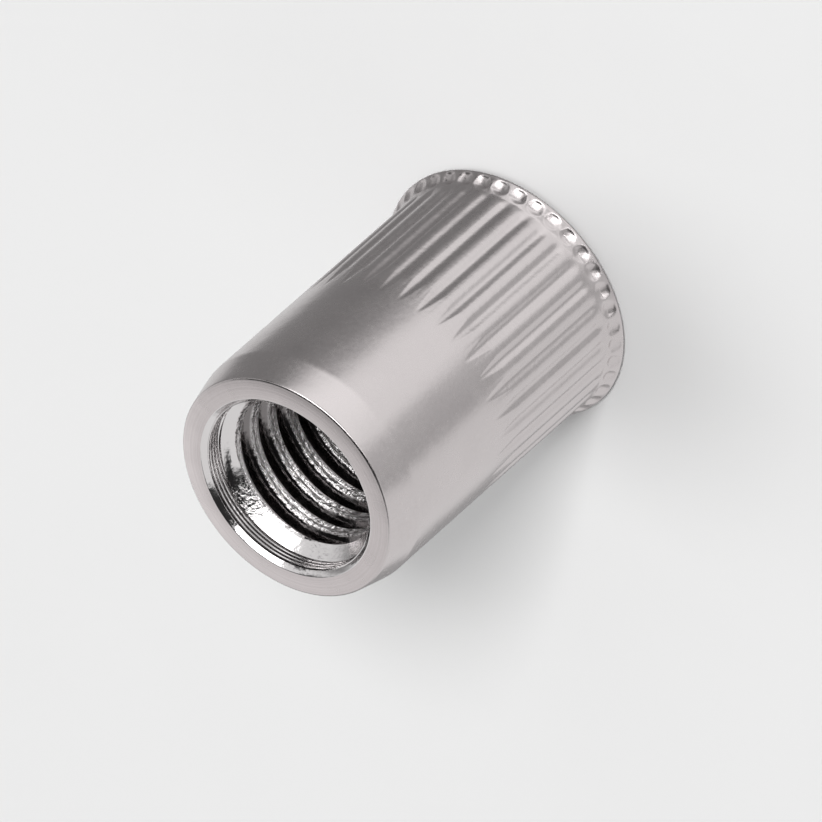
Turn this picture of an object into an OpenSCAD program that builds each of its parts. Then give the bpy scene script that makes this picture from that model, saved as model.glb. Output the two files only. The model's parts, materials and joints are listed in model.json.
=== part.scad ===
// Rivet nut, M8 x 1.25: open-end type with a reduced head and a ribbed shank.
//
// A rivet nut is pushed into a drilled sheet and pulled up by its thread. The
// thin wall between the head and the thread then folds out behind the sheet.
// The ribs and the teeth under the head bite in and stop it turning.
//
// Frame: the nut stands on the flat face of its head, z = 0, with its axis on
// +Z and its open, threaded end up.

/* [Shank] */
// Diameter of the plain shank, and of the crests of the ribs
shank_d = 11; // [10:0.1:12.5]
// Overall length, from the head face to the open end
length = 16; // [15:0.5:24]
// Length of the taper that leads the open end into the hole
nose_h = 1.6; // [0.8:0.1:2.4]
// Diameter of the open end, at its outer edge
nose_d = 10.34; // [9.6:0.02:10.8]
// Radius that breaks the outer edge of the open end
nose_edge_r = 0.12; // [0.05:0.01:0.25]

/* [Head] */
// Diameter of the head, at its rim
head_d = 11.74; // [11.5:0.02:13]
// Height of the upright rim of the head
rim_h = 0.28; // [0.2:0.02:0.5]
// Height of the cone under the head, from the rim up to the shank
cone_h = 0.6; // [0.5:0.05:0.9]
// Small radius on both edges of the rim
rim_edge_r = 0.07; // [0.03:0.01:0.09]
// Radius that blends the cone into the shank
neck_r = 0.35; // [0.1:0.05:0.6]

/* [Teeth under the head] */
// Number of round pockets pressed into the cone
tooth_count = 40; // [24:1:44]
// Radius of the ball that presses each pocket
pocket_r = 0.42; // [0.3:0.01:0.5]
// Depth of each pocket, square to the cone
pocket_depth = 0.17; // [0.05:0.01:0.22]

/* [Ribs on the shank] */
// Number of grooves round the shank, with a rib between each two
rib_count = 36; // [24:1:40]
// Depth of each groove
groove_depth = 0.1; // [0.04:0.01:0.16]
// Width of the crest left on each rib
rib_crest = 0.34; // [0.16:0.01:0.45]
// Length of the shank with grooves of full depth, from the neck up
rib_full_h = 6.4; // [4:0.1:7.5]
// Length over which each groove runs out to nothing
rib_runout_h = 1.6; // [0.8:0.1:2]

/* [Bore] */
// Nominal diameter of the thread
thread_d = 8; // [7:0.05:8.3]
// Thread pitch, which sets the hole drilled for the thread
pitch = 1.25; // [0.75:0.25:1.5]
// Length of the tapped bore, from the open end
thread_h = 8; // [6.5:0.25:9]
// Depth of the recess at the open end, as wide as the thread, down to its cone
relief_h = 0.93; // [0.3:0.01:1.6]
// Width of the bevel between that recess and the open end
mouth_bevel = 0.22; // [0.1:0.01:0.35]
// Diameter of the plain bore through the head and the wall that folds
plain_d = 9; // [8.6:0.1:9.4]
// Angle of the cone between the plain bore and the thread, to the axis
step_angle = 59; // [45:1:70]

/* [Hidden] */

$fn = 96;

cut = 0.5;                    // how far a cutter runs past the face it opens
join = 0.02;                  // how far two parts of one cutter overlap

shank_r = shank_d / 2;
nose_r = nose_d / 2;
head_r = head_d / 2;
cone_dr = head_r - shank_r;   // how far the head stands out past the shank
neck_z = rim_h + cone_h;      // where the cone meets the shank
cone_slope = atan(cone_dr / cone_h);    // the cone's slope, to the axis
nose_slope = atan((shank_r - nose_r) / nose_h);

// The usual drill for a metric thread, and so the diameter of its crests.
drill_d = thread_d - 0.88 * pitch;
relief_cone_h = (thread_d - drill_d) / 2;       // a 45 degree cone
plain_h = length - thread_h;
step_h = (plain_d - drill_d) / 2 / tan(step_angle);

rib_pitch = 360 / rib_count;
groove_w = 2 * PI * shank_r / rib_count - rib_crest;

metal = "#b3aeab";

// Points that round the corner p, between two faces whose normals point out at
// angles a0 and a1. A negative radius fills a hollow corner.
function rounded(p, r, a0, a1, n = 6) =
    let (mid = (a0 + a1) / 2,
         c = p - r / cos((a1 - a0) / 2) * [cos(mid), sin(mid)])
    [for (i = [0:n]) let (a = a0 + (a1 - a0) * i / n)
        c + r * [cos(a), sin(a)]];

// Outside of the nut, from the head face up to the open end.
module outline() {
    polygon(concat(
        [[0, 0]],
        rounded([head_r, 0], rim_edge_r, -90, 0),
        rounded([head_r, rim_h], rim_edge_r, 0, cone_slope, 3),
        rounded([shank_r, neck_z], -neck_r, cone_slope, 0),
        [[shank_r, length - nose_h]],
        rounded([nose_r, length], nose_edge_r, nose_slope, 90),
        [[0, length]]
    ));
}

// Plain bore, cone, hole drilled for the thread, and recess, as one profile.
// The thread's own vee is too fine for the solid: its crests lie on the
// drilled hole.
module bore() {
    rotate_extrude() polygon([
        [0, -cut],
        [plain_d / 2, -cut],
        [plain_d / 2, plain_h - step_h],
        [drill_d / 2, plain_h],
        [drill_d / 2, length - relief_h - relief_cone_h],
        [thread_d / 2, length - relief_h],
        [thread_d / 2, length - mouth_bevel],
        [thread_d / 2 + mouth_bevel + cut, length + cut],
        [0, length + cut]
    ]);
}

// Section of a groove between two ribs: a shallow vee, open past the shank.
module groove_section() {
    opening = 1 + cut / groove_depth;
    polygon([[shank_r - groove_depth, 0],
             [shank_r + cut, -groove_w / 2 * opening],
             [shank_r + cut, groove_w / 2 * opening]]);
}

// One groove: straight from the neck up, then tilted out of the shank.
module rib_groove() {
    floor_r = shank_r - groove_depth;
    tilt = atan(groove_depth / rib_runout_h);
    translate([0, 0, neck_z])
        linear_extrude(rib_full_h + join) groove_section();
    translate([floor_r, 0, neck_z + rib_full_h])
        rotate([0, tilt, 0])
            translate([-floor_r, 0, 0])
                linear_extrude(rib_runout_h * 1.2) groove_section();
}

// One ball pocket, square to the middle of the cone.
module tooth_pocket() {
    lift = pocket_r - pocket_depth;
    translate([shank_r + cone_dr / 2 + lift * cos(cone_slope), 0,
               rim_h + cone_h / 2 + lift * sin(cone_slope)])
        sphere(pocket_r, $fn = 32);
}

module rivet_nut() {
    color(metal) difference() {
        rotate_extrude() outline();
        bore();
        for (i = [0:rib_count - 1])
            rotate([0, 0, i * rib_pitch]) rib_groove();
        for (i = [0:tooth_count - 1])
            rotate([0, 0, i * 360 / tooth_count]) tooth_pocket();
    }
}

rivet_nut();
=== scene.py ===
"""Dresses a packed rivet nut: its cut thread, its finish, the floor, the
light and the camera.

Laid out as a Blender add-on and run as a script. Blender works in metres;
sizes are written in millimetres and multiplied by MM. The materials work in
millimetres.
"""

import json
import math

import bpy
from bpy.props import (
    FloatProperty,
    FloatVectorProperty,
    IntProperty,
    PointerProperty,
)
from mathutils import Matrix, Vector


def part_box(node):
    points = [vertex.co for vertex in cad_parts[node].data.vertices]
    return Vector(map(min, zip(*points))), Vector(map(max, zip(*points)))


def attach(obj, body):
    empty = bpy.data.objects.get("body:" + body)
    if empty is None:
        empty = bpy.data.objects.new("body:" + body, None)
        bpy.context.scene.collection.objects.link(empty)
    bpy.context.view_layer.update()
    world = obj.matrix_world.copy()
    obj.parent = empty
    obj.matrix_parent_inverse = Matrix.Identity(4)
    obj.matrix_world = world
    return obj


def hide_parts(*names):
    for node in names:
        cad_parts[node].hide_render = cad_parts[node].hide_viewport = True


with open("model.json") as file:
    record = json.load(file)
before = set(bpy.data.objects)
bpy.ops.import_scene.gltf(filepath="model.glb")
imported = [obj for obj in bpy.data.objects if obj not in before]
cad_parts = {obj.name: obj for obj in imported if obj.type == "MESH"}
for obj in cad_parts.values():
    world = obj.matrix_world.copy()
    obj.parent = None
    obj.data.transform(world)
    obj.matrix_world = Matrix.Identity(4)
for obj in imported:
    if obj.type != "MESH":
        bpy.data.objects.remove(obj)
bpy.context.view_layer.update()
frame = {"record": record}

bl_info = {
    "name": "Rivet nut",
    "version": (1, 0, 0),
    "blender": (4, 5, 0),
    "location": "View3D > Sidebar > Rivet nut",
    "description": "Thread, finish, stage and camera for a ribbed rivet nut",
    "category": "Add Mesh",
}

MM = 0.001
NODE = "rivet_nut"
TURN = 2 * math.pi
QUARTER = TURN / 4

NODE_LOW, NODE_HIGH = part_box(NODE)
MOUNT_R = {
    m["name"]: m["dims"].get("r_mm", 0) * MM for m in frame["record"]["mounts"]
}


# ---------------------------------------------------------------- properties


def length_prop(name, about, value):
    return FloatProperty(
        name=name,
        description=about,
        default=value,
        min=0.0,
        precision=6,
        unit="LENGTH",
    )


def angle_prop(name, about, degrees):
    return FloatProperty(
        name=name,
        description=about,
        default=math.radians(degrees),
        precision=4,
        subtype="ANGLE",
    )


def linear(code):
    """Linear RGB of an sRGB hex colour."""
    parts = [int(code[i : i + 2], 16) / 255 for i in (1, 3, 5)]
    return [p / 12.92 if p <= 0.04045 else ((p + 0.055) / 1.055) ** 2.4 for p in parts]


def colour_prop(name, about, code):
    return FloatVectorProperty(
        name=name,
        description=about,
        default=linear(code),
        size=3,
        min=0.0,
        max=1.0,
        subtype="COLOR",
    )


class NutSizes(bpy.types.PropertyGroup):
    """Sizes of the nut and of its cut thread."""

    head_r: length_prop(
        "Head radius", "Radius of the head's rim", (NODE_HIGH.x - NODE_LOW.x) / 2
    )
    rim_h: length_prop("Rim height", "From the head's face to the cone", 0.28 * MM)
    rim_edge: length_prop("Rim edge", "Radius on the edges of the rim", 0.03 * MM)
    foot_w: length_prop("Foot width", "Chamfer under the rim, across", 0.3 * MM)
    foot_h: length_prop("Foot height", "Chamfer under the rim, upwards", 0.21 * MM)
    cone_h: length_prop("Cone height", "Cone from the rim up to the shank", 0.6 * MM)
    neck_fillet: length_prop("Neck", "Radius from the cone into the shank", 0.35 * MM)
    shank_r: length_prop("Shank radius", "Plain shank", MOUNT_R["shank"])
    height: length_prop("Height", "Head face to open end", NODE_HIGH.z - NODE_LOW.z)
    nose_h: length_prop("Nose height", "Taper at the open end", 1.6 * MM)
    nose_r: length_prop("Nose radius", "Radius of the open end", 5.17 * MM)
    nose_bend: length_prop("Nose bend", "Radius from the shank to the taper", 1.2 * MM)
    nose_edge: length_prop("Nose edge", "Radius on the open end's edge", 0.12 * MM)
    face_fall: angle_prop("Face fall", "How far the end face falls outwards", 3.0)

    tooth_count: IntProperty(
        name="Pockets", description="Pockets in the head's cone", default=40
    )
    pocket_r: length_prop("Pocket radius", "Radius of its floor, across", 0.72 * MM)
    pocket_l: length_prop("Pocket length", "Along the cone", 0.62 * MM)
    pocket_depth: length_prop("Pocket depth", "At its deep end", 0.16 * MM)
    pocket_soft: length_prop("Pocket floor", "Softness inside a pocket", 0.05 * MM)
    pocket_edge: length_prop("Pocket edge", "Softness of its edge", 0.012 * MM)

    rib_count: IntProperty(name="Ribs", description="Ribs on the shank", default=36)
    groove_depth: length_prop("Groove depth", "Depth between two ribs", 0.1 * MM)
    groove_w: length_prop("Groove width", "Across, at the shank", 0.74 * MM)
    groove_lead: length_prop("Groove lead-in", "From the neck to full", 0.5 * MM)
    lip: length_prop("Groove lip", "Metal raised beside a groove", 0.01 * MM)
    lip_w: length_prop("Lip width", "Across the raised metal", 0.148 * MM)
    rib_full_h: length_prop("Ribs, full", "Length at full depth", 6.4 * MM)
    rib_runout_h: length_prop("Ribs, run-out", "Length of the run-out", 1.6 * MM)

    core_r: length_prop("Thread core", "Radius on the crests", MOUNT_R["thread"])
    thread_r: length_prop("Thread major radius", "Radius in the roots", 4.0 * MM)
    pitch: length_prop("Pitch", "Thread pitch", 1.25 * MM)
    thread_start: length_prop("Thread start", "Height of a root at +X", 7.375 * MM)
    thread_h: length_prop("Tapped length", "From the open end", 8.0 * MM)
    crest_soft: length_prop("Crest rounding", "Softness of the crests", 0.2 * MM)
    seam_depth: length_prop("Crest seam", "Fold along the crest", 0.12 * MM)
    seam_w: length_prop("Crest seam width", "Across the fold", 0.26 * MM)
    mouth_bevel: length_prop("Mouth bevel", "Bevel at the open end", 0.22 * MM)
    recess_h: length_prop("Recess depth", "Recess above the thread", 0.93 * MM)
    recess_gap: length_prop("Recess gap", "Recess past the thread's roots", 0.02 * MM)
    ring_pitch: length_prop("Turned rings", "From ring to ring, recess", 0.19 * MM)
    ring_depth: length_prop("Ring depth", "Depth of a turned ring", 0.04 * MM)
    plain_r: length_prop("Plain bore", "Bore past the thread", MOUNT_R["screw_passage"])
    step_angle: angle_prop("Step angle", "Cone below the thread, to the axis", 59.0)
    burr: length_prop("Bore edge", "Radius on the edges of the bore", 0.05 * MM)


class NutFinish(bpy.types.PropertyGroup):
    """Colours of the plated steel and of the stage."""

    shank: colour_prop("Outside", "Plated steel outside", "#D2CCCC")
    face: colour_prop("Faces", "Turned end and head faces", "#D3CCCC")
    thread: colour_prop("Thread", "Cut thread and bore", "#DDDADA")
    # A dark tint painted into the thread's groove: painted shade where the crests shade
    # the groove.
    painted_shade: colour_prop("Groove", "Dark oxide in the thread's groove", "#7E7A7A")
    floor: colour_prop("Floor", "Pale matt table", "#CFCFCF")


# --------------------------------------------------------------------- mesh

# Slots of the nut's three finishes.
OUTSIDE, FACES, THREAD = 0, 1, 2

# Columns round the axis. The outer ones are a multiple of the ribs, of the
# pockets and of the bore's columns.
OUTER_COLUMNS = 720
BORE_COLUMNS = 180

# Steps between the rows of each stretch of the section.
EDGE_STEPS = 3
CONE_STEPS = 15
NECK_STEPS = 5
LEAD_STEPS = 7
RIB_STEPS = 5
RUNOUT_STEPS = 14
SHANK_STEPS = 3
NOSE_EDGE_STEPS = 6
BURR_STEPS = 4
RECESS_STEPS = 32
PLAIN_STEPS = 5
# The close rows at the ribs' two ends reach this share of the lead-in's and of
# the run-out's length.
LEAD_REACH = 1.1
RUNOUT_REACH = 1.05

# A pocket's depth at the rim's end, as a share of its full depth, and the
# slopes of the walls at its two ends.
POCKET_SHALLOW = 0.3
POCKET_NECK_WALL = 0.7
POCKET_RIM_WALL = 1.2
# A point this far above a pocket's surface is clear of it, and so is a row this
# share of its length from its middle.
POCKET_CLEAR = 0.1 * MM
POCKET_REACH = 0.7

# The thread's flanks stand at this angle to a plane across the axis, and the
# flat in its root is an eighth of the pitch.
FLANK_ANGLE = math.radians(30)
ROOT_HALF = 1 / 16
# Rows on a flank and on half a crest, closer where the one rounds into the other.
FLANK_ROWS = (0.12, 0.35, 0.6, 0.74, 0.84, 0.92, 1)
CREST_ROWS = (0.12, 0.25, 0.42, 0.65, 0.82)

# Corners between faces are shaded sharp past this angle.
SHARP_ANGLE = math.radians(32)
# Rows this near to each other, in metres, are at the same height.
SAME_HEIGHT = 1e-9


def rounded(corner, radius, a0, a1, steps):
    """Points (r, z) that round a corner between two faces whose normals point
    at angles a0 and a1. A negative radius fills a hollow corner."""
    mid = (a0 + a1) / 2
    reach = radius / math.cos((a1 - a0) / 2)
    cr, cz = corner[0] - reach * math.cos(mid), corner[1] - reach * math.sin(mid)
    points = []
    for i in range(steps + 1):
        a = a0 + (a1 - a0) * i / steps
        points.append((cr + radius * math.cos(a), cz + radius * math.sin(a)))
    return points


def after(a, b, steps):
    """Points past a, in even steps up to b."""
    return [
        (a[0] + (b[0] - a[0]) * i / steps, a[1] + (b[1] - a[1]) * i / steps)
        for i in range(1, steps + 1)
    ]


def between(a, b, steps):
    """Points strictly between a and b."""
    return after(a, b, steps)[:-1]


def smooth_rise(x, width):
    """x where x is positive and 0 where it isn't, with a rounded corner."""
    return (x + math.sqrt(x * x + width * width)) / 2


def smooth_least(a, b, width):
    """The smaller of a and b, with a rounded corner."""
    return a - smooth_rise(a - b, width)


def clamped(x):
    """x, held between 0 and 1."""
    return max(0.0, min(1.0, x))


def nearest_step(angle, count):
    """Angle from the nearest of count even steps round the axis."""
    step = TURN / count
    return angle - step * round(angle / step)


class Skin:
    """Vertices and faces, built ring by ring round the axis."""

    def __init__(self):
        self.verts, self.faces, self.finish = [], [], []

    def ring(self, points):
        first = len(self.verts)
        self.verts.extend(points)
        return list(range(first, first + len(points)))

    def face(self, corners, finish):
        kept = [c for i, c in enumerate(corners) if c != corners[i - 1]]
        if len(set(kept)) > 2:
            self.faces.append(tuple(kept))
            self.finish.append(finish)

    def walls(self, rings, finish):
        """Quads between each ring and the next one in the section."""
        for a, b in zip(rings, rings[1:]):
            for j in range(len(a)):
                k = (j + 1) % len(a)
                self.face((a[j], a[k], b[k], b[j]), finish)

    def stitch(self, fine, coarse, finish, outside_in):
        """Flat ring between a fine outer ring and a coarse inner one."""
        step = len(fine) // len(coarse)
        n = len(fine)
        for j in range(len(coarse)):
            k = (j + 1) % len(coarse)
            run = [fine[(j * step + i) % n] for i in range(step + 1)]
            if outside_in:
                self.face((*run, coarse[k], coarse[j]), finish)
            else:
                self.face((coarse[j], coarse[k], *reversed(run)), finish)


def outside_rows(s):
    """Section of the outside, from the head face up to the open end."""
    slope = math.atan((s.head_r - s.shank_r) / s.cone_h)
    neck_z = s.rim_h + s.cone_h
    taper = math.atan((s.shank_r - s.nose_r) / s.nose_h)
    face_w = s.nose_r - s.thread_r - s.mouth_bevel
    end_z = s.height - face_w * math.tan(s.face_fall)

    foot = -math.atan(s.foot_w / s.foot_h)
    rows = rounded((s.head_r - s.foot_w, 0), s.rim_edge, -QUARTER, foot, EDGE_STEPS)
    rows += rounded((s.head_r, s.foot_h), s.rim_edge, foot, 0, EDGE_STEPS)
    rows += rounded((s.head_r, s.rim_h), s.rim_edge, 0, slope, EDGE_STEPS)
    neck = rounded((s.shank_r, neck_z), -s.neck_fillet, slope, 0, NECK_STEPS)
    rows += between(rows[-1], neck[0], CONE_STEPS) + neck

    lead = (s.shank_r, neck_z + LEAD_REACH * s.groove_lead)
    full = (s.shank_r, neck_z + s.rib_full_h)
    gone = (s.shank_r, full[1] + RUNOUT_REACH * s.rib_runout_h)
    rows += between(neck[-1], lead, LEAD_STEPS)
    rows += after(lead, full, RIB_STEPS) + after(full, gone, RUNOUT_STEPS)

    bend = rounded((s.shank_r, s.height - s.nose_h), s.nose_bend, 0, taper, EDGE_STEPS)
    face = QUARTER - s.face_fall
    nose = rounded((s.nose_r, end_z), s.nose_edge, taper, face, NOSE_EDGE_STEPS)
    rows += between(rows[-1], bend[0], SHANK_STEPS) + bend
    rows += between(bend[-1], nose[0], SHANK_STEPS) + nose
    return rows, neck_z, slope


def groove_cut(s, across, z, neck_z):
    """Depth of the hollow between two ribs, at a distance from its middle.
    It starts on a slope above the neck, and runs out at the other end. The
    metal that it displaces stands up beside it as a low lip."""
    run_in = clamped((z - neck_z) / s.groove_lead)
    run_out = clamped((z - neck_z - s.rib_full_h) / s.rib_runout_h)
    half = s.groove_w / 2
    past = abs(across) - half
    if not run_in or past > s.lip_w:
        return 0.0
    if past < 0:
        hollow = s.groove_depth * (1 + math.cos(math.pi * across / half)) / 2
        return max(0.0, hollow * run_in - s.groove_depth * run_out)
    swell = max(0.0, math.sin(math.pi * past / s.lip_w))
    return -s.lip * run_in * (1 - run_out) * swell


def pocket_cut(s, along, out, across):
    """How far a scooped pocket lies below a point, where along and across run
    on the cone and out is square to it. The scoop is shallow at the rim and
    deep near the neck, where a steep end closes it."""
    end = s.pocket_l / 2
    share = (along + end) / s.pocket_l
    floor = s.pocket_depth * (POCKET_SHALLOW + (1 - POCKET_SHALLOW) * share)
    ends = min((end - along) * POCKET_NECK_WALL, (end + along) * POCKET_RIM_WALL)
    depth = smooth_least(floor, ends, s.pocket_soft) - across**2 / (2 * s.pocket_r)
    return smooth_rise(depth + out, s.pocket_edge) if depth > -POCKET_CLEAR else 0.0


def add_outside(skin, s):
    """Head, neck, ribs, shank and nose. Returns the first ring and the last."""
    rows, neck_z, slope = outside_rows(s)
    along = (-math.sin(slope), math.cos(slope))
    out = (math.cos(slope), math.sin(slope))
    mid = ((s.head_r + s.shank_r) / 2, s.rim_h + s.cone_h / 2)
    rings = []
    for row_r, row_z in rows:
        dr, dz = row_r - mid[0], row_z - mid[1]
        a, o = dr * along[0] + dz * along[1], dr * out[0] + dz * out[1]
        by_pocket = abs(a) < POCKET_REACH * s.pocket_l
        ring = []
        for j in range(OUTER_COLUMNS):
            angle = TURN * j / OUTER_COLUMNS
            r, z = row_r, row_z
            if by_pocket:
                push = pocket_cut(s, a, o, mid[0] * nearest_step(angle, s.tooth_count))
                r, z = r - push * out[0], z - push * out[1]
            across = s.shank_r * nearest_step(angle, s.rib_count)
            groove = groove_cut(s, across, row_z, neck_z)
            r = min(r, s.shank_r - groove) if groove > 0 else r - groove
            ring.append((r * math.cos(angle), r * math.sin(angle), z))
        rings.append(skin.ring(ring))
    skin.walls(rings, OUTSIDE)
    return rings[0], rings[-1]


def thread_shares(s):
    """Heights of the rows in one pitch, as shares of the pitch, from the
    middle of a root. The root's edges and the crest's edges are among them."""
    flank = (s.thread_r - s.core_r) * math.tan(FLANK_ANGLE) / s.pitch
    crest = ROOT_HALF + flank
    half = [ROOT_HALF / 2, ROOT_HALF]
    half += [ROOT_HALF + flank * f for f in FLANK_ROWS]
    half += [crest + (0.5 - crest) * f for f in CREST_ROWS]
    return sorted([-f for f in half] + [0] + half + [0.5])


def bore_radii(s, z, share):
    """Radius that the tap leaves, with its crests a little rounded and a fold
    along them, and the radius that the recess's cone and the step leave."""
    flank = (abs(share) - ROOT_HALF) * s.pitch / math.tan(FLANK_ANGLE)
    rise = smooth_rise(s.thread_r - s.core_r - flank, s.crest_soft)
    seam = 1 - (0.5 - abs(share)) * s.pitch / (s.seam_w / 2)
    rise += s.seam_depth * max(0.0, seam)
    thread = min(s.thread_r, s.core_r + rise)
    cone = s.thread_r + s.recess_gap - (s.height - s.recess_h - z)
    step = s.core_r + (s.height - s.thread_h - z) * math.tan(s.step_angle)
    return thread, max(cone, min(s.plain_r, step))


def thread_column(s, heights):
    """Rows (z, r) down one column of the bore. A row on the cone or the step
    moves to where that cutter meets the thread, so that the corner between
    them is a clean edge."""
    rows = [[z, *bore_radii(s, z, share)] for z, share in heights]
    for low, high in zip(rows, rows[1:]):
        g0, g1 = low[1] - low[2], high[1] - high[2]
        if g0 * g1 < 0:
            t = g0 / (g0 - g1)
            r = low[1] + (high[1] - low[1]) * t
            moved = low if g0 < 0 else high
            moved[:] = low[0] + (high[0] - low[0]) * t, r, r
    return [(z, max(thread, cut)) for z, thread, cut in rows]


def recess_rows(s):
    """Section of the mouth: bevel and turned recess, from the end face down."""
    wide = s.thread_r + s.recess_gap
    mouth = (s.thread_r + s.mouth_bevel, s.height)
    foot = (wide, s.height - (mouth[0] - wide))
    rows = rounded(mouth, s.burr, QUARTER - s.face_fall, 1.5 * QUARTER, BURR_STEPS)
    rows += rounded(foot, s.burr / 2, 1.5 * QUARTER, 2 * QUARTER, EDGE_STEPS)
    bottom = (wide, s.height - s.recess_h)
    for _, z in between(rows[-1], bottom, RECESS_STEPS):
        ridge = math.sin(TURN * (z - bottom[1]) / s.ring_pitch)
        rows.append((wide + s.ring_depth * (ridge - 1) / 2, z))
    return rows + [bottom]


def add_bore(skin, s):
    """Mouth, recess, thread, step and plain bore, from the open end down.
    The rows follow the thread, so its crests and roots are clean edges.
    Returns the first ring and the last."""
    angles = [TURN * j / BORE_COLUMNS for j in range(BORE_COLUMNS)]

    def level(r, z):
        return skin.ring([(r * math.cos(a), r * math.sin(a), z) for a in angles])

    mouth = recess_rows(s)
    mouth_rings = [level(r, z) for r, z in mouth]
    top = mouth[-1][1]
    bottom = s.height - s.thread_h - (s.plain_r - s.core_r) / math.tan(s.step_angle)
    start, end = mouth_rings[-1], level(s.plain_r, bottom)

    shares = thread_shares(s)
    first = math.floor((bottom - s.thread_start) / s.pitch) - 2
    last = math.ceil((top - s.thread_start) / s.pitch) + 1
    turns = [(turn, share) for turn in range(first, last + 1) for share in shares]
    grid = []
    for j, angle in enumerate(angles):
        rise = s.thread_start + s.pitch * angle / TURN
        heights = [(rise + s.pitch * (turn + share), share) for turn, share in turns]
        line = []
        for z, r in thread_column(s, heights):
            if z >= top - SAME_HEIGHT:
                line.append(start[j])
            elif z <= bottom + SAME_HEIGHT:
                line.append(end[j])
            else:
                spot = (r * math.cos(angle), r * math.sin(angle), z)
                line.append(skin.ring([spot])[0])
        grid.append(line)

    # The last column meets the first one a pitch further up.
    for j, line in enumerate(grid):
        k = (j + 1) % BORE_COLUMNS
        shift = len(shares) if k == 0 else 0
        beside = grid[k][shift:] + [start[k]] * shift
        for m in range(len(line) - 1):
            skin.face((line[m + 1], beside[m + 1], beside[m], line[m]), THREAD)

    foot = rounded((s.plain_r, 0), s.burr, math.pi, 3 * QUARTER, BURR_STEPS)
    plain = between((s.plain_r, bottom), foot[0], PLAIN_STEPS) + foot
    plain_rings = [end] + [level(r, z) for r, z in plain]
    skin.walls(mouth_rings, THREAD)
    skin.walls(plain_rings, THREAD)
    return mouth_rings[0], plain_rings[-1]


def nut_mesh(s):
    """The whole skin: outside, bore and the flat faces that join them."""
    skin = Skin()
    head_ring, end_ring = add_outside(skin, s)
    mouth_ring, foot_ring = add_bore(skin, s)
    skin.stitch(end_ring, mouth_ring, FACES, outside_in=True)
    skin.stitch(head_ring, foot_ring, FACES, outside_in=False)
    mesh = bpy.data.meshes.new("rivet_nut_body")
    mesh.from_pydata(skin.verts, [], skin.faces)
    mesh.polygons.foreach_set("material_index", skin.finish)
    mesh.validate()
    mesh.shade_smooth()
    mesh.set_sharp_from_angle(angle=SHARP_ANGLE)
    mesh.update()
    return mesh


# ---------------------------------------------------------------- materials

# Where the patterns are flat: the roughness, the share of the light tint, and
# the dark tint as a share of the light one.
SATIN_ROUGH, SATIN_SHARE, SATIN_DARK = 0.24, 0.6, 0.9
TURNED_ROUGH, TURNED_SHARE, TURNED_DARK = 0.26, 0.8, 0.88
CUT_ROUGH = 0.1
BOARD_ROUGH, BOARD_DARK = 0.9, 0.985

# How far past the ribs their deeper grain goes, and the length it fades over.
GRAIN_PAST_RIBS_MM = 0.32
GRAIN_FADE_MM = 1.2

# Where the looks of the cut thread are full and gone, in millimetres: heights
# above the top of the thread, distances outwards from its crests, and distances
# from the spot where the boring tool tore the cone below the recess.
TAPPED_FULL, TAPPED_GONE = -0.12, 0.05
CREST_FULL, CREST_GONE = 0.05, 0.2
# The groove's painted shade is full this far outwards from the crests and gone this
# near them.
PAINTED_SHADE_FULL, PAINTED_SHADE_GONE = 0.2, 0.08
TORN_SPOT = (1.3, 3.5, 14.8)
TORN_FULL, TORN_GONE = 0.5, 1.1


def add_node(tree, kind, inputs=(), **settings):
    """Adds a node with its settings. Inputs are in the order of its sockets, or
    in a dictionary by their name or place. Each is a value or what feeds it: a
    socket, or a node that gives its first output."""
    node = tree.nodes.new(kind)
    for name, value in settings.items():
        setattr(node, name, value)
    pairs = inputs.items() if isinstance(inputs, dict) else enumerate(inputs)
    for key, value in pairs:
        if isinstance(value, bpy.types.Node):
            value = value.outputs[0]
        if isinstance(value, bpy.types.NodeSocket):
            tree.links.new(value, node.inputs[key])
        else:
            node.inputs[key].default_value = value
    return node


def new_material(name):
    """A material and, in its tree, the place in millimetres, the distance from
    the axis and the height above the head's face."""
    mat = bpy.data.materials.new(name)
    mat.use_nodes = True
    tree = mat.node_tree
    tree.nodes.clear()
    spot = add_node(tree, "ShaderNodeTexCoord").outputs["Object"]
    place = add_node(
        tree, "ShaderNodeVectorMath", {0: spot, "Scale": 1 / MM}, operation="SCALE"
    )
    level = add_node(
        tree, "ShaderNodeVectorMath", (place, (1, 1, 0)), operation="MULTIPLY"
    )
    radius = add_node(tree, "ShaderNodeVectorMath", (level,), operation="LENGTH")
    height = add_node(tree, "ShaderNodeSeparateXYZ", (place,))
    return mat, place, radius.outputs["Value"], height.outputs["Z"]


def add_steel(tree, dark, light, share, rough, lift):
    """Ends the tree of a steel that is tinted from dark to light by a share,
    with its roughness and with its relief in millimetres."""
    tint = add_node(
        tree,
        "ShaderNodeMix",
        {0: share, 6: (*dark, 1), 7: (*light, 1)},
        data_type="RGBA",
    )
    bump = add_node(
        tree, "ShaderNodeBump", {"Strength": 1.0, "Distance": MM, "Height": lift}
    )
    surface = {
        "Base Color": tint.outputs[2],
        "Metallic": 1.0,
        "Roughness": rough,
        "Normal": bump,
    }
    shader = add_node(tree, "ShaderNodeBsdfPrincipled", surface)
    add_node(tree, "ShaderNodeOutputMaterial", {"Surface": shader})


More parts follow.
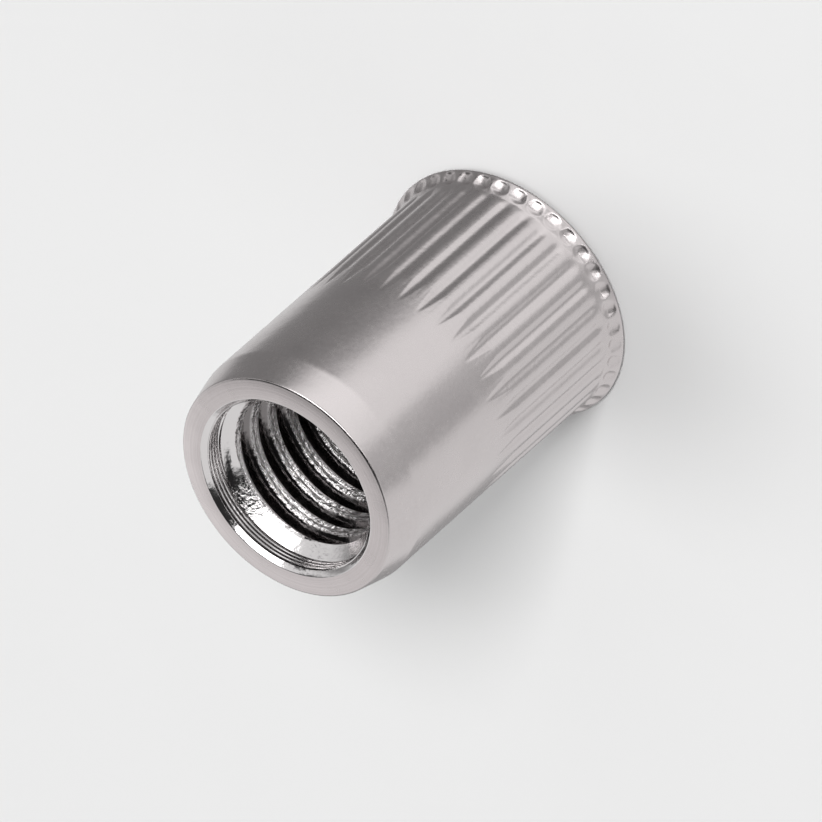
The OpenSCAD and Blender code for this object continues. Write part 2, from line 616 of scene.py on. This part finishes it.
def plated_steel_satin(finish, sizes):
    """Zinc-plated steel, cold formed: a satin that mirrors softly, with a
    cloudy skin, a fine grain that is deeper on the ribs, and faint rings round
    the shank. Grain and rings are drawn as coarse as they need to be to show."""
    mat, place, radius, height = new_material("zinc_plated_steel_satin")
    tree = mat.node_tree
    run = add_node(tree, "ShaderNodeMath", (radius, height), operation="ADD")

    # Cloud, grain and rings: what each runs along, and its size and detail.
    patterns = []
    for along, dimensions, size_mm, detail in (
        ({"Vector": place}, "3D", 1.6, 3.0),
        ({"Vector": place}, "3D", 0.18, 1.0),
        ({"W": run}, "1D", 0.12, 2.0),
    ):
        noise = add_node(
            tree,
            "ShaderNodeTexNoise",
            {**along, "Scale": 1 / size_mm, "Detail": detail},
            noise_dimensions=dimensions,
        )
        patterns.append(
            add_node(tree, "ShaderNodeMath", (noise, 0.5), operation="SUBTRACT")
        )
    cloud, grain, rings = patterns

    ribs_h = sizes.rim_h + sizes.cone_h + sizes.rib_full_h + sizes.rib_runout_h
    plain_mm = ribs_h / MM + GRAIN_PAST_RIBS_MM
    ribbed = add_node(
        tree,
        "ShaderNodeMapRange",
        {"Value": height, "From Min": plain_mm, "From Max": plain_mm - GRAIN_FADE_MM},
        interpolation_type="SMOOTHSTEP",
    )
    grain_mm = add_node(
        tree, "ShaderNodeMath", (ribbed, 0.005, 0.0016), operation="MULTIPLY_ADD"
    )

    # Height in millimetres, roughness and share of the light tint, each with
    # what the patterns add to it.
    ends = []
    for value, parts in (
        (0.0, ((grain, grain_mm), (cloud, 0.02), (rings, 0.0006))),
        (SATIN_ROUGH, ((grain, 0.16), (ribbed, 0.06), (cloud, 0.1))),
        (SATIN_SHARE, ((grain, 0.8), (cloud, 1.0))),
    ):
        for pattern, amount in parts:
            value = add_node(
                tree,
                "ShaderNodeMath",
                (pattern, amount, value),
                operation="MULTIPLY_ADD",
            )
        ends.append(value)
    lift, rough, share = ends
    dark = [c * SATIN_DARK for c in finish.shank]
    add_steel(tree, dark, finish.shank, share, rough, lift)
    return mat


def plated_steel_turned(finish):
    """The same plated steel where a tool faced it: finer and flatter, with
    rings round the axis, drawn as coarse as they need to be to show."""
    mat, place, radius, _ = new_material("zinc_plated_steel_turned")
    tree = mat.node_tree

    # Cloud and rings: what each runs along, and its size and detail.
    patterns = []
    for along, dimensions, size_mm, detail in (
        ({"Vector": place}, "3D", 0.9, 2.0),
        ({"W": radius}, "1D", 0.09, 3.0),
    ):
        noise = add_node(
            tree,
            "ShaderNodeTexNoise",
            {**along, "Scale": 1 / size_mm, "Detail": detail},
            noise_dimensions=dimensions,
        )
        patterns.append(
            add_node(tree, "ShaderNodeMath", (noise, 0.5), operation="SUBTRACT")
        )
    cloud, rings = patterns

    lift = 0.0
    for pattern, depth_mm in ((rings, 0.0016), (cloud, 0.006)):
        lift = add_node(
            tree, "ShaderNodeMath", (pattern, depth_mm, lift), operation="MULTIPLY_ADD"
        )
    rough = add_node(
        tree, "ShaderNodeMath", (cloud, 0.1, TURNED_ROUGH), operation="MULTIPLY_ADD"
    )
    share = add_node(tree, "ShaderNodeMath", (rings, TURNED_SHARE), operation="ADD")
    dark = [c * TURNED_DARK for c in finish.face]
    add_steel(tree, dark, finish.face, share, rough, lift)
    return mat


def plated_steel_cut(finish, sizes):
    """The same steel where the tap and the boring tool cut it: bright, nearly
    a mirror, with torn crests, and painted shade darkening the groove."""
    mat, place, radius, height = new_material("zinc_plated_steel_cut")
    tree = mat.node_tree

    # Torn metal and the tool's fine waves: size, detail and crispness of each.
    patterns = []
    for size_mm, detail, crispness in ((0.22, 3.0, 0.6), (0.5, 2.0, 0.5)):
        noise = add_node(
            tree,
            "ShaderNodeTexNoise",
            {
                "Vector": place,
                "Scale": 1 / size_mm,
                "Detail": detail,
                "Roughness": crispness,
            },
        )
        patterns.append(
            add_node(tree, "ShaderNodeMath", (noise, 0.5), operation="SUBTRACT")
        )
    torn, fine = patterns

    # How far a point is in the thread, on its crests, in its groove and in the
    # torn spot: what is measured, and the values at which each is gone and full.
    from_spot = add_node(
        tree, "ShaderNodeVectorMath", (place, TORN_SPOT), operation="DISTANCE"
    )
    core_mm = sizes.core_r / MM
    tapped_mm = (sizes.height - sizes.recess_h - sizes.thread_r) / MM + core_mm
    masks = []
    for value, gone, full in (
        (height, tapped_mm + TAPPED_GONE, tapped_mm + TAPPED_FULL),
        (radius, core_mm + CREST_GONE, core_mm + CREST_FULL),
        (radius, core_mm + PAINTED_SHADE_GONE, core_mm + PAINTED_SHADE_FULL),
        (from_spot.outputs["Value"], TORN_GONE, TORN_FULL),
    ):
        mask = add_node(
            tree,
            "ShaderNodeMapRange",
            {"Value": value, "From Min": gone, "From Max": full},
            interpolation_type="SMOOTHSTEP",
        )
        masks.append(mask)
    tapped, inward, outward, spot = masks
    crest = add_node(tree, "ShaderNodeMath", (tapped, inward), operation="MULTIPLY")
    # Deep in the groove the tint goes to the painted shade colour.
    groove = add_node(tree, "ShaderNodeMath", (tapped, outward), operation="MULTIPLY")

    # Depth of the torn metal in millimetres, with more on the crests and spot.
    torn_mm = 0.008
    for mask, depth_mm in ((crest, 0.12), (spot, 0.045)):
        torn_mm = add_node(
            tree, "ShaderNodeMath", (mask, depth_mm, torn_mm), operation="MULTIPLY_ADD"
        )
    lift = 0.0
    for pattern, depth_mm in ((fine, 0.012), (torn, torn_mm)):
        lift = add_node(
            tree, "ShaderNodeMath", (pattern, depth_mm, lift), operation="MULTIPLY_ADD"
        )

    # Nearly a mirror, and rougher on the crests.
    uneven = add_node(tree, "ShaderNodeMath", (crest, fine), operation="ADD")
    rough = add_node(
        tree, "ShaderNodeMath", (uneven, 0.2, CUT_ROUGH), operation="MULTIPLY_ADD"
    )
    add_steel(tree, finish.thread, finish.painted_shade, groove, rough, lift)
    return mat


def matt_board(finish):
    """Painted board, rolled matt: an even pale grey with a faint mottle."""
    mat, place, _, _ = new_material("painted_board_matt")
    tree = mat.node_tree
    mottle_mm = 6.0
    mottle = add_node(
        tree, "ShaderNodeTexNoise", {"Vector": place, "Scale": 1 / mottle_mm}
    )
    dark = [c * BOARD_DARK for c in finish.floor]
    tint = add_node(
        tree,
        "ShaderNodeMix",
        {0: mottle, 6: (*dark, 1), 7: (*finish.floor, 1)},
        data_type="RGBA",
    )
    surface = {
        "Base Color": tint.outputs[2],
        "Roughness": BOARD_ROUGH,
        "Specular IOR Level": 0.0,
    }
    shader = add_node(tree, "ShaderNodeBsdfPrincipled", surface)
    add_node(tree, "ShaderNodeOutputMaterial", {"Surface": shader})
    return mat


# -------------------------------------------------------------------- stage

# The camera's side of the nut, and the directions that the surroundings are
# laid out in: towards the camera on the level, to its right, and up.
CAMERA_TURN = math.radians(-99.5)
CAMERA_FROM_AXIS = math.radians(49.8)
TOWARDS = Vector((math.cos(CAMERA_TURN), math.sin(CAMERA_TURN), 0))
ASIDE = Vector((math.sin(CAMERA_TURN), -math.cos(CAMERA_TURN), 0))
UP = Vector((0, 0, 1))

# Image size and where the middle of the axis falls on it, in pixels.
IMAGE_PX = 822
AXIS_MIDDLE_PX = (397.7, 389.0)
PX_PER_MM = 24.43
AXIS_IN_IMAGE = (0.748, -0.663)
SENSOR_MM = 36.0

# Distances in metres.
CAMERA_DISTANCE = 1.0
CLIP_START, CLIP_END = 0.01, 20.0
FLOOR_HALF = 3.0
LAMP_DISTANCE = 2.0

# Lamps: name, azimuth and elevation in degrees, width and height in metres,
# radiance, and whether only the metal shows it. The others light the floor
# and aren't seen in the metal.
LAMPS = (
    ("mirrored_soft_box", -32, 47, 1.82, 0.85, 3.4, True),
    ("mirrored_strip", 16, 33, 0.85, 0.3, 3.0, True),
    ("table_lamp", -14, 46, 0.55, 0.55, 36.0, False),
    ("table_fill", -125, 63, 1.1, 1.1, 4.7, False),
)

# Brightness of what stands round the nut, low down, by the azimuth in degrees.
SURROUNDINGS = (
    (-180, 0.62),
    (-165, 0.80),
    (-140, 0.70),
    (-128, 0.28),
    (-88, 0.25),
    (-64, 0.32),
    (-46, 0.52),
    (-36, 0.98),
    (-26, 1.05),
    (14, 1.05),
    (22, 0.66),
    (56, 0.50),
    (62, 0.87),
    (134, 0.87),
    (142, 0.42),
    (164, 0.34),
    (180, 0.62),
)
# Brightness of the dome over them. It begins at the first height, a share of
# the ray's length, and is full at the second.
DOME = 0.85
DOME_FROM, DOME_FULL = 0.15, 0.45
# Bright cards and dark openings in the dome: azimuth, elevation, the angles from
# the middle at which each is full and gone, and its brightness.
OPENINGS = (
    (-30, 2, 14, 44, 1.25),
    (-20, 22, 12, 30, 0.66),
    (0, -90, 20, 38, 0.25),
    (-168, 27, 4, 17, 1.12),
    (-150, 52, 8, 24, 0.45),
    (-112, 44, 13, 21, 0.02),
    (-78, 20, 8, 14, 0.02),
    (20, 52, 26, 33, 0.03),
    (0, 90, 31, 40, 0.02),
)


def add_camera(sizes):
    """A camera that looks down on the nut from the open end's side."""
    back = TOWARDS * math.sin(CAMERA_FROM_AXIS) + UP * math.cos(CAMERA_FROM_AXIS)
    down_axis = TOWARDS * math.cos(CAMERA_FROM_AXIS) - UP * math.sin(CAMERA_FROM_AXIS)
    x, y = AXIS_IN_IMAGE
    right = (down_axis * x - ASIDE * y).normalized()
    up = (-down_axis * y - ASIDE * x).normalized()
    middle = UP * sizes.height / 2
    mm_right = (IMAGE_PX / 2 - AXIS_MIDDLE_PX[0]) / PX_PER_MM
    mm_down = (IMAGE_PX / 2 - AXIS_MIDDLE_PX[1]) / PX_PER_MM
    aim = middle + right * mm_right * MM - up * mm_down * MM

    data = bpy.data.cameras.new("camera")
    data.sensor_width = SENSOR_MM
    data.lens = PX_PER_MM * CAMERA_DISTANCE / MM / IMAGE_PX * SENSOR_MM
    data.clip_start = CLIP_START
    data.clip_end = CLIP_END
    camera = bpy.data.objects.new("camera", data)
    turn = Matrix((right, up, back)).transposed().to_4x4()
    camera.matrix_world = Matrix.Translation(aim + back * CAMERA_DISTANCE) @ turn
    bpy.context.scene.collection.objects.link(camera)
    bpy.context.scene.camera = camera


def add_floor(finish):
    """The table. The metal doesn't mirror it."""
    mesh = bpy.data.meshes.new("floor")
    h = FLOOR_HALF
    corners = [(-h, -h, 0), (h, -h, 0), (h, h, 0), (-h, h, 0)]
    mesh.from_pydata(corners, [], [(0, 1, 2, 3)])
    floor = bpy.data.objects.new("floor", mesh)
    bpy.context.scene.collection.objects.link(floor)
    mesh.materials.append(matt_board(finish))
    floor.visible_glossy = False


def add_soft_box(name, direction, across, tall, radiance):
    """A rectangular lamp that faces the nut. Its width lies level."""
    light = bpy.data.lights.new(name, "AREA")
    light.shape = "RECTANGLE"
    light.size = across
    light.size_y = tall
    # An area lamp of power P and area A has a radiance of P / (pi * A) face on.
    light.energy = radiance * math.pi * across * tall
    lamp = bpy.data.objects.new(name, light)
    lamp.location = direction.normalized() * LAMP_DISTANCE
    lamp.rotation_mode = "QUATERNION"
    lamp.rotation_quaternion = direction.to_track_quat("Z", "Y")
    bpy.context.scene.collection.objects.link(lamp)
    return lamp


def toward(azimuth, elevation):
    """Direction at an azimuth from the camera's side, to its right, and an
    elevation, both in degrees."""
    a, e = math.radians(azimuth), math.radians(elevation)
    level = TOWARDS * math.cos(a) + ASIDE * math.sin(a)
    return level * math.cos(e) + UP * math.sin(e)


def add_world():
    """A studio for the metal to mirror: cards low down all round, a pale dome,
    and bright cards and dark openings in it."""
    world = bpy.data.worlds.new("studio")
    world.use_nodes = True
    tree = world.node_tree
    tree.nodes.clear()
    ray = add_node(tree, "ShaderNodeTexCoord").outputs["Generated"]

    # Cosine of the ray's angle from each direction.
    middles = [toward(azimuth, elevation) for azimuth, elevation, *_ in OPENINGS]
    cosines = []
    for direction in (TOWARDS, ASIDE, UP, *middles):
        product = add_node(
            tree, "ShaderNodeVectorMath", (ray, direction), operation="DOT_PRODUCT"
        )
        cosines.append(product.outputs["Value"])
    towards, aside, height, *near = cosines

    angle = add_node(tree, "ShaderNodeMath", (aside, towards), operation="ARCTAN2")
    place = add_node(
        tree, "ShaderNodeMath", (angle, 1 / TURN, 0.5), operation="MULTIPLY_ADD"
    )
    cards = add_node(tree, "ShaderNodeValToRGB", (place,))
    cards.color_ramp.interpolation = "LINEAR"
    marks = cards.color_ramp.elements
    while len(marks) > 1:
        marks.remove(marks[-1])
    for i, (degrees, value) in enumerate(SURROUNDINGS):
        spot = degrees / 360 + 0.5
        mark = marks[0] if i == 0 else marks.new(spot)
        mark.position = spot
        mark.color = (value, value, value, 1)

    # Each layer lies over those before it.
    layers = [(height, DOME_FROM, DOME_FULL, DOME)]
    for cosine, (_, _, full, gone, value) in zip(near, OPENINGS):
        edge = math.cos(math.radians(gone)), math.cos(math.radians(full))
        layers.append((cosine, *edge, value))
    light = cards
    for cosine, gone, full, value in layers:
        cover = add_node(
            tree,
            "ShaderNodeMapRange",
            {"Value": cosine, "From Min": gone, "From Max": full},
            interpolation_type="SMOOTHSTEP",
        )
        light = add_node(
            tree, "ShaderNodeMix", {0: cover, 2: light, 3: value}, data_type="FLOAT"
        )
    back = add_node(
        tree, "ShaderNodeBackground", {"Color": (1, 1, 1, 1), "Strength": light}
    )
    add_node(tree, "ShaderNodeOutputWorld", {"Surface": back})
    bpy.context.scene.world = world


# ---------------------------------------------------------------- operators


class RIVETNUT_OT_nut(bpy.types.Operator):
    """Make the nut's skin, with its ribs, pockets and cut thread"""

    bl_idname = "rivetnut.nut"
    bl_label = "Make the nut"

    def execute(self, context):
        sizes, finish = context.scene.nut_sizes, context.scene.nut_finish
        mesh = nut_mesh(sizes)
        if not mesh.polygons:
            raise RuntimeError("the nut's mesh has no faces")
        nut = bpy.data.objects.new("rivet_nut_body", mesh)
        context.scene.collection.objects.link(nut)
        mesh.materials.append(plated_steel_satin(finish, sizes))
        mesh.materials.append(plated_steel_turned(finish))
        mesh.materials.append(plated_steel_cut(finish, sizes))
        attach(nut, "root")
        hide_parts(NODE)
        return {"FINISHED"}


class RIVETNUT_OT_stage(bpy.types.Operator):
    """Make the floor, the light, the surroundings and the camera"""

    bl_idname = "rivetnut.stage"
    bl_label = "Make the stage"

    def execute(self, context):
        scene = context.scene
        add_camera(scene.nut_sizes)
        add_floor(scene.nut_finish)
        for name, azimuth, elevation, across, tall, radiance, mirrored in LAMPS:
            where = toward(azimuth, elevation)
            lamp = add_soft_box(name, where, across, tall, radiance)
            lamp.visible_diffuse = not mirrored
            lamp.visible_glossy = mirrored
        add_world()
        scene.view_settings.view_transform = "Standard"
        if scene.camera is None:
            raise RuntimeError("the scene has no camera")
        return {"FINISHED"}


class RIVETNUT_PT_panel(bpy.types.Panel):
    """Sizes, colours and steps of the rivet nut"""

    bl_idname = "RIVETNUT_PT_panel"
    bl_label = "Rivet nut"
    bl_space_type = "VIEW_3D"
    bl_region_type = "UI"
    bl_category = "Rivet nut"

    def draw(self, context):
        layout = self.layout
        for group in (context.scene.nut_sizes, context.scene.nut_finish):
            box = layout.box()
            for name in group.__annotations__:
                box.prop(group, name)
        for step in STEPS:
            layout.operator(step.bl_idname)


STEPS = (RIVETNUT_OT_stage, RIVETNUT_OT_nut)
CLASSES = (NutSizes, NutFinish, *STEPS, RIVETNUT_PT_panel)


def register():
    for cls in CLASSES:
        bpy.utils.register_class(cls)
    bpy.types.Scene.nut_sizes = PointerProperty(type=NutSizes)
    bpy.types.Scene.nut_finish = PointerProperty(type=NutFinish)


def unregister():
    del bpy.types.Scene.nut_finish
    del bpy.types.Scene.nut_sizes
    for cls in reversed(CLASSES):
        bpy.utils.unregister_class(cls)


def main():
    register()
    bpy.ops.rivetnut.stage()
    bpy.ops.rivetnut.nut()


if __name__ == "__main__":
    main()
